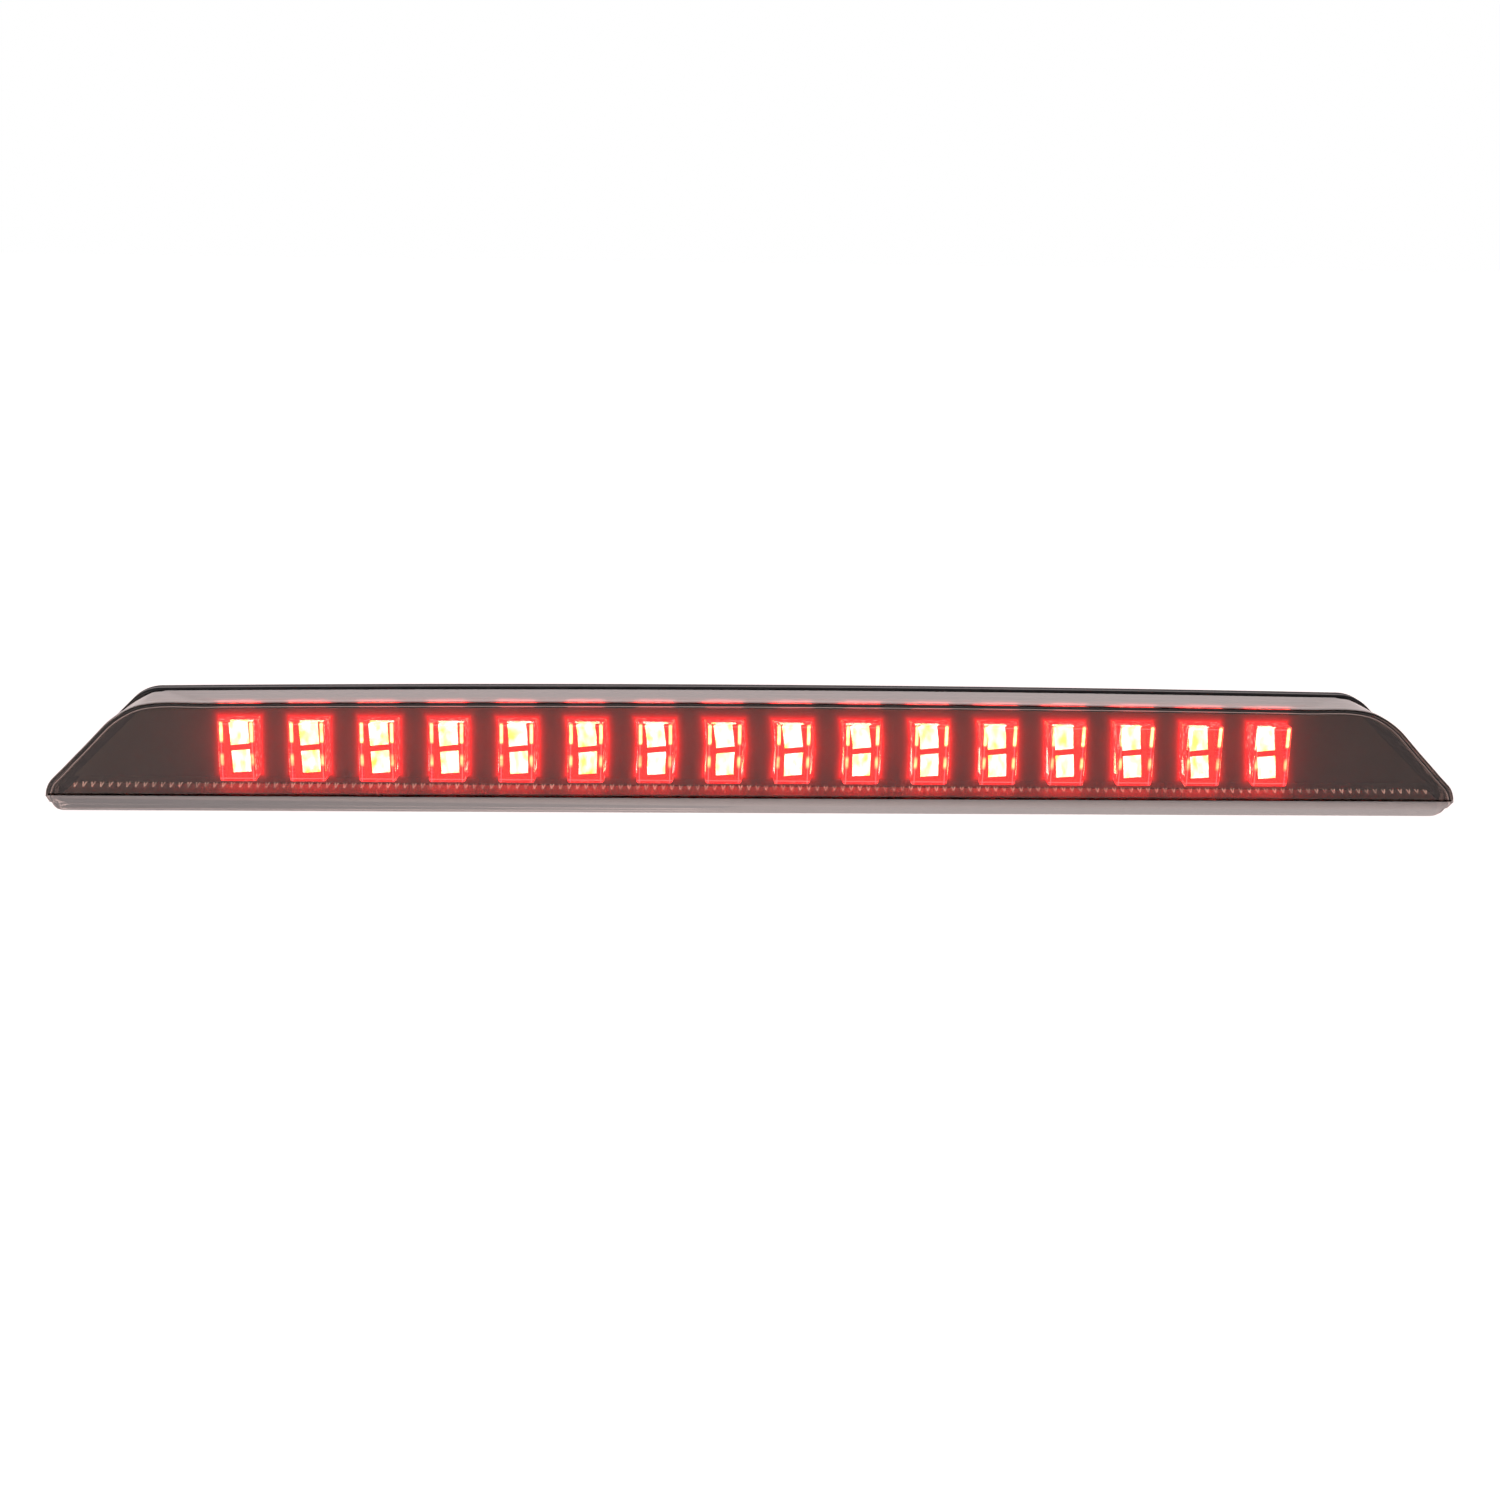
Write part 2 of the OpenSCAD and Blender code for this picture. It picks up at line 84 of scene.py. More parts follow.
# the lens: height of its face, depth behind the lower edge, drop of its slanting bottom
FACE_H, WALL_DEPTH, KEEL_DROP = 29.6 * MM, 14.7 * MM, 7 * MM
WALL, SIDE_WALL, RIM_FILLET = 2.5 * MM, 1.2 * MM, 0.7 * MM
CAP_DEPTH, CAP_PROUD = 5 * MM, 0.3 * MM
HALF = lens_high.x
Y_REAR = lens_high.y
Z_KEEL = lens_low.z - CAP_PROUD
Z_SKIRT = lens_high.z
CREASE_Y = Y_REAR - WALL_DEPTH
CREASE_Z = Z_KEEL + KEEL_DROP
Z_CAP = CREASE_Z + FACE_H
LEAN = (CREASE_Y - lens_low.y) / FACE_H
KEEL = KEEL_DROP / WALL_DEPTH

# its outline: corner radii, how full the shoulders are, and the crown of the top edge, which
# is so flat that its radius is in metres
TIP_R, LOW_R, TUCK = 7 * MM, 2.5 * MM, 0.8 * MM
BROW_R, SWEEP_R, SKIRT_R = 25 * MM, 90 * MM, 12 * MM
SHOULDER_RISE, SHOULDER_LEN = 2.5 * MM, 46 * MM
CROWN_R = 12

# the cells: windows in the bezel and the blocks that fill them
CELL_Z = (block_low.z + block_high.z) / 2
CELL_X = [sum(corner.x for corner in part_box(f"optic_block_{i:02d}")) / 2 for i in range(1, CELLS + 1)]
PITCH = CELL_X[1] - CELL_X[0]
FLANGE_LIP, FLANGE_T = 0.8 * MM, 1 * MM
FLANGE_FRONT = block_high.y - FLANGE_T
WINDOW_FIT, REAR_GAP = 0.2 * MM, 0.02 * MM
BLOCK_W = (block_high.x - block_low.x) - 2 * FLANGE_LIP
BLOCK_H = (block_high.z - block_low.z) - 2 * FLANGE_LIP
WINDOW_W, WINDOW_H = BLOCK_W + 2 * WINDOW_FIT, BLOCK_H + 2 * WINDOW_FIT
FACE_W = 10.4 * MM
NOSE_DROP = 1.4 * MM
TOP_CUT = 1.8 * MM
NOSE_Z = block_high.z - FLANGE_LIP - NOSE_DROP

# the prism strip: spacing of its teeth and height of the upright part under the bezel
TOOTH = 2.5 * MM
STRIP_UPRIGHT = 1.7 * MM
print("cells:", CELLS, "pitch mm:", round(PITCH / MM, 2), "lean:", round(LEAN, 3))

# %% [markdown]
# ## Camera
# The lamp is seen from the front, a little from its left end and from above, with a long
# lens. The camera is aimed at a point in the lamp and then rolled slightly.

# %% Camera
AIM = Vector((-1.95, -15.0, 4.35)) * MM
AZIMUTH, ELEVATION, ROLL = math.radians(-3.17), math.radians(8.62), math.radians(0.78)
DISTANCE = 1.04
back = Vector((math.sin(AZIMUTH) * math.cos(ELEVATION), -math.cos(AZIMUTH) * math.cos(ELEVATION),
               math.sin(ELEVATION)))
camera_data = bpy.data.cameras.new("camera")
camera_data.sensor_width = 36
camera_data.lens = 85.56
camera_data.clip_start = 0.01
camera = bpy.data.objects.new("camera", camera_data)
bpy.context.scene.collection.objects.link(camera)
camera.rotation_mode = "QUATERNION"
level = (-back).to_track_quat("-Z", "Y")
camera.rotation_quaternion = level @ Matrix.Rotation(ROLL, 3, "Z").to_quaternion()
camera.location = AIM + back * DISTANCE
bpy.context.scene.camera = camera
print("camera at", [round(v, 3) for v in camera.location])

# %% [markdown]
# ## Light
# A product shot on white: an even white surround does most of the work, because the smoked
# walls show what they reflect. The surround falls off towards the front and the right, so
# the leaning face stays dark, and it lights the lamp a little warmer than it looks. One soft
# light at the upper left adds shape. The Standard view transform keeps the lit red pure and
# lets the brightest spots clip to white.

# %% Surround, floor and soft light
scene = bpy.context.scene
scene.view_settings.view_transform = "Standard"
world = bpy.data.worlds.new("studio")
scene.world = world
world.use_nodes = True
sky = world.node_tree
surround = sky.nodes["Background"]
direction = sky.nodes.new("ShaderNodeTexCoord")
parts = sky.nodes.new("ShaderNodeSeparateXYZ")
shade = sky.nodes.new("ShaderNodeMapRange")
shade.inputs["From Min"].default_value = -1.02
shade.inputs["From Max"].default_value = 0.1
shade.inputs["To Min"].default_value = 0.04
shade.inputs["To Max"].default_value = 1.0
turned = sky.nodes.new("ShaderNodeMath")
turned.operation = "MULTIPLY_ADD"
turned.inputs[1].default_value = -0.8
sky.links.new(direction.outputs["Generated"], parts.inputs[0])
sky.links.new(parts.outputs["X"], turned.inputs[0])
sky.links.new(parts.outputs["Y"], turned.inputs[2])
sky.links.new(turned.outputs[0], shade.inputs["Value"])
sky.links.new(shade.outputs["Result"], surround.inputs["Strength"])
tone = sky.nodes.new("ShaderNodeMix")
tone.data_type = "RGBA"
tone.inputs["A"].default_value = (0.97, 0.85, 0.84, 1)
tone.inputs["B"].default_value = (1, 1, 1, 1)
ray = sky.nodes.new("ShaderNodeLightPath")
sky.links.new(ray.outputs["Is Camera Ray"], tone.inputs["Factor"])
sky.links.new(tone.outputs["Result"], surround.inputs["Color"])


def new_mesh(name, bm, smooth_angle=30):
    """Turns a bmesh into a linked object whose soft edges are shaded smooth."""
    mesh = bpy.data.meshes.new(name)
    bm.to_mesh(mesh)
    bm.free()
    mesh.shade_smooth()
    mesh.set_sharp_from_angle(angle=math.radians(smooth_angle))
    piece = bpy.data.objects.new(name, mesh)
    scene.collection.objects.link(piece)
    return piece


def soft_light(name, place, target, size, power):
    """One square area light that points at a target."""
    data = bpy.data.lights.new(name, "AREA")
    data.energy = power
    data.size = size
    lamp = bpy.data.objects.new(name, data)
    scene.collection.objects.link(lamp)
    lamp.location = place
    lamp.rotation_mode = "QUATERNION"
    lamp.rotation_quaternion = (Vector(target) - Vector(place)).to_track_quat("-Z", "Y")


FLOOR_DROP = 0.28
floor_bm = bmesh.new()
bmesh.ops.create_grid(floor_bm, x_segments=1, y_segments=1, size=30)
bmesh.ops.translate(floor_bm, verts=floor_bm.verts, vec=(0, 0, cad_low.z - FLOOR_DROP))
floor = new_mesh("floor", floor_bm)
floor_white = bpy.data.materials.new("floor_white")
floor_white.use_nodes = True
floor_paint = floor_white.node_tree.nodes["Principled BSDF"]
floor_paint.inputs["Base Color"].default_value = (0.9, 0.84, 0.83, 1)
floor_paint.inputs["Roughness"].default_value = 0.9
floor_paint.inputs["Emission Color"].default_value = (1, 1, 1, 1)
floor_ray = floor_white.node_tree.nodes.new("ShaderNodeLightPath")
floor_shine = floor_white.node_tree.nodes.new("ShaderNodeMapRange")
floor_shine.inputs["To Min"].default_value = 0.12
floor_shine.inputs["To Max"].default_value = 0.5
floor_white.node_tree.links.new(floor_ray.outputs["Is Camera Ray"], floor_shine.inputs["Value"])
floor_white.node_tree.links.new(floor_shine.outputs["Result"], floor_paint.inputs["Emission Strength"])
floor.data.materials.append(floor_white)
soft_light("soft_top", (-1.1, -0.7, 0.9), (-0.15, 0, 0), 1.0, 9)
print("floor at z =", round(floor.data.vertices[0].co.z, 3))

# %% [markdown]
# ## Finishes
# Plastics are never perfectly even. One shader group is shared by every material of the
# lamp: it breaks up a colour with broad noise and a roughness with fine noise, and hands out
# the fine noise as the height of moulded grain. Each material sets its own scale and
# strength.

# %% Shared wear group
def socket(group, name, kind, way, value=None):
    made = group.interface.new_socket(name=name, in_out=way, socket_type=kind)
    if value is not None:
        made.default_value = value


def link(tree, a, b):
    tree.links.new(a, b)


def make_wear_group():
    """Varies a colour and a roughness over the surface with two sizes of noise."""
    group = bpy.data.node_groups.new("plastic_wear", "ShaderNodeTree")
    socket(group, "Vector", "NodeSocketVector", "INPUT")
    socket(group, "Color", "NodeSocketColor", "INPUT", (0.5, 0.5, 0.5, 1))
    socket(group, "Shade", "NodeSocketFloat", "INPUT", 0.1)
    socket(group, "Scale", "NodeSocketFloat", "INPUT", 120)
    socket(group, "Roughness", "NodeSocketFloat", "INPUT", 0.4)
    socket(group, "Spread", "NodeSocketFloat", "INPUT", 0.1)
    socket(group, "Color", "NodeSocketColor", "OUTPUT")
    socket(group, "Roughness", "NodeSocketFloat", "OUTPUT")
    socket(group, "Height", "NodeSocketFloat", "OUTPUT")
    nodes = group.nodes
    ins, outs = nodes.new("NodeGroupInput"), nodes.new("NodeGroupOutput")
    broad, fine = nodes.new("ShaderNodeTexNoise"), nodes.new("ShaderNodeTexNoise")
    link(group, ins.outputs["Vector"], broad.inputs["Vector"])
    link(group, ins.outputs["Vector"], fine.inputs["Vector"])
    link(group, ins.outputs["Scale"], broad.inputs["Scale"])
    finer = nodes.new("ShaderNodeMath")
    finer.operation = "MULTIPLY"
    finer.inputs[1].default_value = 18
    link(group, ins.outputs["Scale"], finer.inputs[0])
    link(group, finer.outputs[0], fine.inputs["Scale"])
    # colour: lighter and darker than the given one by Shade
    swing = nodes.new("ShaderNodeMapRange")
    link(group, broad.outputs["Fac"], swing.inputs["Value"])
    low = nodes.new("ShaderNodeMath")
    low.operation = "SUBTRACT"
    low.inputs[0].default_value = 1
    link(group, ins.outputs["Shade"], low.inputs[1])
    high = nodes.new("ShaderNodeMath")
    high.operation = "ADD"
    high.inputs[0].default_value = 1
    link(group, ins.outputs["Shade"], high.inputs[1])
    swing.inputs["From Min"].default_value = 0.3
    swing.inputs["From Max"].default_value = 0.7
    link(group, low.outputs[0], swing.inputs["To Min"])
    link(group, high.outputs[0], swing.inputs["To Max"])
    tint = nodes.new("ShaderNodeVectorMath")
    tint.operation = "SCALE"
    link(group, ins.outputs["Color"], tint.inputs[0])
    link(group, swing.outputs["Result"], tint.inputs["Scale"])
    link(group, tint.outputs["Vector"], outs.inputs["Color"])
    # roughness: the given one plus or minus Spread
    centre = nodes.new("ShaderNodeMath")
    centre.operation = "SUBTRACT"
    link(group, fine.outputs["Fac"], centre.inputs[0])
    centre.inputs[1].default_value = 0.5
    rough = nodes.new("ShaderNodeMath")
    rough.operation = "MULTIPLY_ADD"
    link(group, centre.outputs[0], rough.inputs[0])
    link(group, ins.outputs["Spread"], rough.inputs[1])
    link(group, ins.outputs["Roughness"], rough.inputs[2])
    rough.use_clamp = True
    link(group, rough.outputs[0], outs.inputs["Roughness"])
    link(group, fine.outputs["Fac"], outs.inputs["Height"])
    return group


WEAR = make_wear_group()


def plastic(name, color, rough=0.4, shade=0.1, scale=120, spread=0.15, bump=0.1, bump_mm=0.05, **sockets):
    """A Principled material whose colour, roughness and bump come from the wear group."""
    mat = bpy.data.materials.new(name)
    mat.use_nodes = True
    tree = mat.node_tree
    shader = tree.nodes["Principled BSDF"]
    coords = tree.nodes.new("ShaderNodeTexCoord")
    wear = tree.nodes.new("ShaderNodeGroup")
    wear.node_tree = WEAR
    wear.inputs["Color"].default_value = (*color, 1)
    wear.inputs["Shade"].default_value = shade
    wear.inputs["Scale"].default_value = scale
    wear.inputs["Roughness"].default_value = rough
    wear.inputs["Spread"].default_value = spread
    link(tree, coords.outputs["Object"], wear.inputs["Vector"])
    link(tree, wear.outputs["Color"], shader.inputs["Base Color"])
    link(tree, wear.outputs["Roughness"], shader.inputs["Roughness"])
    if bump:
        grain = tree.nodes.new("ShaderNodeBump")
        grain.inputs["Strength"].default_value = bump
        grain.inputs["Distance"].default_value = bump_mm * MM
        link(tree, wear.outputs["Height"], grain.inputs["Height"])
        link(tree, grain.outputs["Normal"], shader.inputs["Normal"])
    for key, value in sockets.items():
        shader.inputs[key.replace("_", " ")].default_value = value
    return mat


# %% [markdown]
# The cells light the bezel around them. The glow is worked out from how far a point lies
# outside the nearest window, so it belongs to the lamp and stays put from every side. A
# second shared group does that sum. It also gives the distance from the nearest cell's
# centre line, which the materials use to place marks on every cell at once.

# %% Glow around the lit cells
def make_glow_group():
    """A mask that is 1 in a cell's window and fades outside it, and the distance across."""
    group = bpy.data.node_groups.new("cell_glow", "ShaderNodeTree")
    socket(group, "Vector", "NodeSocketVector", "INPUT")
    socket(group, "Fade", "NodeSocketFloat", "INPUT", 0.004)
    socket(group, "Mask", "NodeSocketFloat", "OUTPUT")
    socket(group, "Across", "NodeSocketFloat", "OUTPUT")
    nodes = group.nodes
    ins, outs = nodes.new("NodeGroupInput"), nodes.new("NodeGroupOutput")
    split = nodes.new("ShaderNodeSeparateXYZ")
    link(group, ins.outputs["Vector"], split.inputs[0])

    def math_node(operation, *values):
        node = nodes.new("ShaderNodeMath")
        node.operation = operation
        for k, value in enumerate(values):
            if isinstance(value, (int, float)):
                node.inputs[k].default_value = value
            else:
                link(group, value, node.inputs[k])
        return node.outputs[0]

    row_half = CELL_X[-1]
    clamped = math_node("MINIMUM", math_node("MAXIMUM", split.outputs["X"], -row_half), row_half)
    count = math_node("ROUND", math_node("DIVIDE", math_node("SUBTRACT", clamped, CELL_X[0]), PITCH))
    nearest = math_node("MULTIPLY_ADD", count, PITCH, CELL_X[0])
    dx = math_node("ABSOLUTE", math_node("SUBTRACT", split.outputs["X"], nearest))
    middle = CELL_Z - TOP_CUT / 2
    dz = math_node("ABSOLUTE", math_node("SUBTRACT", split.outputs["Z"], middle))
    out_x = math_node("MAXIMUM", math_node("SUBTRACT", dx, WINDOW_W / 2), 0)
    out_z = math_node("MAXIMUM", math_node("SUBTRACT", dz, (WINDOW_H - TOP_CUT) / 2), 0)
    far = math_node("SQRT", math_node("ADD", math_node("POWER", out_x, 2), math_node("POWER", out_z, 2)))
    fade = math_node("EXPONENT", math_node("MULTIPLY", math_node("DIVIDE", far, ins.outputs["Fade"]), -1))
    link(group, fade, outs.inputs["Mask"])
    link(group, dx, outs.inputs["Across"])
    return group


GLOW = make_glow_group()


class Graph:
    """Small helper that writes the value maths of one material."""

    def __init__(self, mat):
        self.tree = mat.node_tree
        self.shader = self.tree.nodes["Principled BSDF"]
        self.coords = self.tree.nodes["Texture Coordinate"]
        split = self.tree.nodes.new("ShaderNodeSeparateXYZ")
        link(self.tree, self.coords.outputs["Object"], split.inputs[0])
        self.x, self.y, self.z = split.outputs

    def maths(self, operation, *values, clamp=False):
        node = self.tree.nodes.new("ShaderNodeMath")
        node.operation = operation
        node.use_clamp = clamp
        for k, value in enumerate(values):
            if isinstance(value, (int, float)):
                node.inputs[k].default_value = value
            else:
                link(self.tree, value, node.inputs[k])
        return node.outputs[0]

    def product(self, first, *others):
        """Values multiplied together."""
        whole = first
        for other in others:
            whole = self.maths("MULTIPLY", whole, other)
        return whole

    def between(self, value, low, high, soft):
        """1 where low < value < high, with soft edges."""
        rise = self.maths("DIVIDE", self.maths("SUBTRACT", value, low), soft, clamp=True)
        drop = self.maths("DIVIDE", self.maths("SUBTRACT", high, value), soft, clamp=True)
        return self.maths("MULTIPLY", rise, drop)

    def cell(self, fade=0.004):
        """The cell group: glow mask, and distance across from the nearest cell's centre."""
        node = self.tree.nodes.new("ShaderNodeGroup")
        node.node_tree = GLOW
        node.inputs["Fade"].default_value = fade
        link(self.tree, self.coords.outputs["Object"], node.inputs["Vector"])
        return node.outputs["Mask"], node.outputs["Across"]

    def noise(self, scale, low, high, stretch=(1, 1, 1)):
        """Noise spread between two values."""
        place = self.tree.nodes.new("ShaderNodeMapping")
        place.inputs["Scale"].default_value = stretch
        grain = self.tree.nodes.new("ShaderNodeTexNoise")
        grain.inputs["Scale"].default_value = scale
        link(self.tree, self.coords.outputs["Object"], place.inputs["Vector"])
        link(self.tree, place.outputs[0], grain.inputs["Vector"])
        spread = self.tree.nodes.new("ShaderNodeMapRange")
        spread.inputs["From Min"].default_value = 0.3
        spread.inputs["From Max"].default_value = 0.7
        spread.inputs["To Min"].default_value = low
        spread.inputs["To Max"].default_value = high
        link(self.tree, grain.outputs["Fac"], spread.inputs["Value"])
        return spread.outputs["Result"]

    def tinted(self, value, color):
        """A colour as strong as a value."""
        node = self.tree.nodes.new("ShaderNodeVectorMath")
        node.operation = "SCALE"
        node.inputs[0].default_value = color
        link(self.tree, value, node.inputs["Scale"])
        return node.outputs["Vector"]

    def dim(self, factor):
        """Multiplies the base colour by a value."""
        base = self.shader.inputs["Base Color"]
        node = self.tree.nodes.new("ShaderNodeVectorMath")
        node.operation = "SCALE"
        link(self.tree, base.links[0].from_socket, node.inputs[0])
        link(self.tree, factor, node.inputs["Scale"])
        link(self.tree, node.outputs["Vector"], base)

    def total(self, *colors):
        """Colours added together."""
        whole = colors[0]
        for color in colors[1:]:
            node = self.tree.nodes.new("ShaderNodeVectorMath")
            node.operation = "ADD"
            link(self.tree, whole, node.inputs[0])
            link(self.tree, color, node.inputs[1])
            whole = node.outputs["Vector"]
        return whole

    def shine(self, color, strength=1.0, spill=0.3, mirrored=1.0):
        """Emission. Diffuse rays get only the spill part of it, and paths that were mirrored
        on the way get only the mirrored part."""
        link(self.tree, color, self.shader.inputs["Emission Color"])
        ray = self.tree.nodes.new("ShaderNodeLightPath")
        soft = self.maths("MULTIPLY_ADD", ray.outputs["Is Diffuse Ray"], spill - 1, 1)
        bounced = self.maths("MINIMUM", ray.outputs["Glossy Depth"], 1)
        hard = self.maths("MULTIPLY_ADD", bounced, mirrored - 1, 1)
        power = self.maths("MULTIPLY", self.maths("MULTIPLY", soft, hard), strength)
        link(self.tree, power, self.shader.inputs["Emission Strength"])


def cell_light(graph, near, near_mm, far, far_mm):
    """A tight and a wide glow round the cells, each with its colour and its reach."""
    tight, wide = graph.cell(near_mm * MM)[0], graph.cell(far_mm * MM)[0]
    return graph.total(graph.tinted(tight, near), graph.tinted(wide, far))


# %% [markdown]
# ### Smoked lens
# The lens is polycarbonate with a smoke tint, so it is a clear glass-like plastic with a
# brown-grey colour. Above every cell the shoulder of the cap catches a pinkish patch of
# light. It is added as a soft, broken glow on the cap's top wall.

# %% Smoked lens finish
PATCH_HALF, PATCH_LOW = 6.2 * MM, 18.6 * MM
PATCH_FRONT, PATCH_REAR = -31 * MM, -21 * MM
smoked_lens = plastic("smoked_lens", (0.41, 0.32, 0.29), rough=0.02, shade=0.03, scale=30, spread=0.02,
                      bump=0.02, Transmission_Weight=1.0, IOR=1.5)
graph = Graph(smoked_lens)
across = graph.cell()[1]
patch = graph.product(
    graph.between(across, -1, PATCH_HALF, 2 * MM),
    graph.between(graph.y, PATCH_FRONT, PATCH_REAR, 2.5 * MM),
    graph.between(graph.z, PATCH_LOW, 1, 0.3 * MM),
    graph.noise(220, 0.4, 1.3))
graph.shine(graph.tinted(patch, (1.0, 0.16, 0.18)), 0.22)
print("patches on the shoulder:", CELLS)

# %% [markdown]
# ### Red blocks
# The blocks are clear red acrylic over very bright packages. What leaves a real block is
# mostly light that has bounced inside it, which takes long to render well. So each zone of a
# block gets its own glow instead: deep red flanks with a few sparks, a thin frame round the
# face, and near-white strips at the face's left and right edges.

# %% Red block finish
red_optic = plastic("red_optic", (0.95, 0.17, 0.14), rough=0.02, shade=0.04, scale=400, spread=0.02,
                    bump=0.03, Transmission_Weight=1.0, IOR=1.49)
graph = Graph(red_optic)
across = graph.cell()[1]
up = graph.maths("ABSOLUTE", graph.maths("SUBTRACT", graph.z, CELL_Z - NOSE_DROP))
face_y = graph.maths("MULTIPLY_ADD", graph.maths("SUBTRACT", NOSE_Z, graph.z), LEAN, block_low.y)
depth = graph.maths("SUBTRACT", graph.y, face_y)
on_face = graph.between(depth, -1, 0.12 * MM, 0.05 * MM)
on_side = graph.maths("SUBTRACT", 1, on_face, clamp=True)
in_front = graph.between(graph.y, -1, bezel_low.y + 0.5 * MM, 0.3 * MM)
# the frame line near the edge of the face
side_x, side_z = FACE_W / 2, BLOCK_H / 2
frame_x = graph.between(across, side_x - 1.0 * MM, side_x - 0.6 * MM, 0.12 * MM)
frame_z = graph.between(up, side_z - 1.1 * MM, side_z - 0.7 * MM, 0.12 * MM)
frame_line = graph.product(graph.maths("MAXIMUM", frame_x, frame_z), on_face)
# the bright strips: a long upper part and a dimmer lower one
strip_x = graph.between(across, side_x - 1.5 * MM, side_x - 0.3 * MM, 0.3 * MM)
upper = graph.between(graph.z, CELL_Z + 1.2 * MM, CELL_Z + 7.8 * MM, 0.8 * MM)
lower = graph.between(graph.z, CELL_Z - 6.0 * MM, CELL_Z - 1.8 * MM, 1.2 * MM)
parts_z = graph.maths("ADD", upper, graph.product(lower, 0.45))
strips = graph.product(strip_x, parts_z, on_face, graph.noise(500, 0.5, 1.3))
# the flanks and their sparks
flank = graph.product(on_side, in_front, graph.noise(160, 0.75, 1.2))
specks = graph.maths("MULTIPLY", graph.noise(700, -16, 4), 1, clamp=True)
sparks = graph.product(specks, on_side, in_front)
zones = [
    graph.tinted(flank, (2.6, 0.03, 0.05)),
    graph.tinted(on_face, (0.9, 0.0, 0.01)),
    graph.tinted(frame_line, (1.8, 0.45, 0.5)),
    graph.tinted(strips, (9.0, 6.0, 2.2)),
    graph.tinted(sparks, (1.5, 1.0, 0.9)),
]
graph.shine(graph.total(*zones))
print("glow zones on a block:", len(zones))

# %% [markdown]
# ### Bezel and prism strip
# The bezel is a plain dark brown-grey plastic that the cells light from the front. The strip
# under it is a lighter one. Its small V-shaped teeth are drawn in the finish as thin bright
# lines of painted highlight, broken up by noise. Painted shade darkens the line where the slope turns
# upright.

# %% Bezel and strip finishes
dark_bezel = plastic("dark_bezel", (0.155, 0.142, 0.112), rough=0.45, shade=0.08, scale=60, bump=0.15)
graph = Graph(dark_bezel)
graph.shine(cell_light(graph, (2.4, 0.01, 0.02), 0.75, (0.08, 0.001, 0.001), 6))

prism_plastic = plastic("prism_plastic", (0.40, 0.37, 0.33), rough=0.3, shade=0.08, scale=90, bump=0.1)
graph = Graph(prism_plastic)
from_tooth = graph.maths("PINGPONG", graph.x, TOOTH / 2)
climb = graph.maths("SUBTRACT", graph.z, CREASE_Z + 1.9 * MM)
off_edge = graph.maths("SUBTRACT", from_tooth, graph.maths("MULTIPLY", climb, 0.45))
# painted highlights: thin bright glint lines along the V teeth, broken up by noise
painted_tooth_glint = graph.product(
    graph.between(graph.maths("ABSOLUTE", off_edge), -1, 0.24 * MM, 0.1 * MM),
    graph.between(climb, 0, 1.3 * MM, 0.15 * MM),
    graph.noise(350, 0.2, 1.4))
# painted shade: a thin darker line where the slope turns upright, in place of the shadow in that crease
upright_foot_z = bezel_low.z - STRIP_UPRIGHT
painted_crease_shade = graph.between(graph.z, upright_foot_z - 0.25 * MM, upright_foot_z + 0.5 * MM, 0.1 * MM)
graph.dim(graph.maths("MULTIPLY_ADD", painted_crease_shade, -0.85, 1))
strip_light = cell_light(graph, (0.2, 0.01, 0.01), 0.6, (0.0, 0.001, 0.001), 6)
graph.shine(graph.total(strip_light, graph.tinted(painted_tooth_glint, (0.9, 0.62, 0.52))))
print("tooth spacing mm:", round(TOOTH / MM, 1))

# %% [markdown]
# ### Packages, wells and board
# Behind the blocks the packages are the brightest things in the lamp. Their light is a cool
# white with yellower and bluer blotches. Paths that were mirrored on the way get far less of
# it, so the flanks of a block stay red. The wells round the packages glow in fine bands.

# %% Package, reflector and board finishes
led_body = plastic("led_package", (0.9, 0.85, 0.75), rough=0.4, shade=0.03, scale=500)
led_glow = plastic("led_glow", (1.0, 0.9, 0.6), rough=0.4, shade=0.05, scale=500)
graph = Graph(led_glow)
warm = graph.tinted(graph.noise(700, 0.8, 1.2), (20.0, 30.0, 10.0))
cool = graph.tinted(graph.noise(500, -0.2, 1.6, (1, 1, 0.5)), (2.0, 4.0, 24.0))
graph.shine(graph.total(warm, cool), mirrored=0.12, spill=0.1)

BAND = 1.1 * MM
white_reflector = plastic("white_reflector", (0.8, 0.6, 0.58), rough=0.25, shade=0.03, scale=100, bump=0.05)
graph = Graph(white_reflector)
wells = graph.cell(1.2 * MM)[0]
wave = graph.maths("SINE", graph.maths("MULTIPLY", graph.z, 2 * math.pi / BAND))
bands = graph.product(wells, graph.maths("MULTIPLY_ADD", wave, 0.42, 0.58), graph.noise(300, 0.7, 1.2))
graph.shine(graph.tinted(bands, (4.0, 0.5, 0.9)))

board_green = plastic("board_green", (0.03, 0.16, 0.08), rough=0.3, shade=0.3, scale=150, bump=0.1)
graph = Graph(board_green)
# painted glow: the board is lit pink-red inside each cell's window, fading within 0.3 mm outside it
graph.shine(graph.tinted(graph.cell(0.3 * MM)[0], (1.6, 0.5, 0.5)))
print("well glow bands mm:", round(BAND / MM, 1))

# %% [markdown]
# ### Tray, gasket and small parts
# The rest is seen from behind or from the side: satin moulded plastics, foam with a deep
# grain, tinned blades and zinc-plated steel.

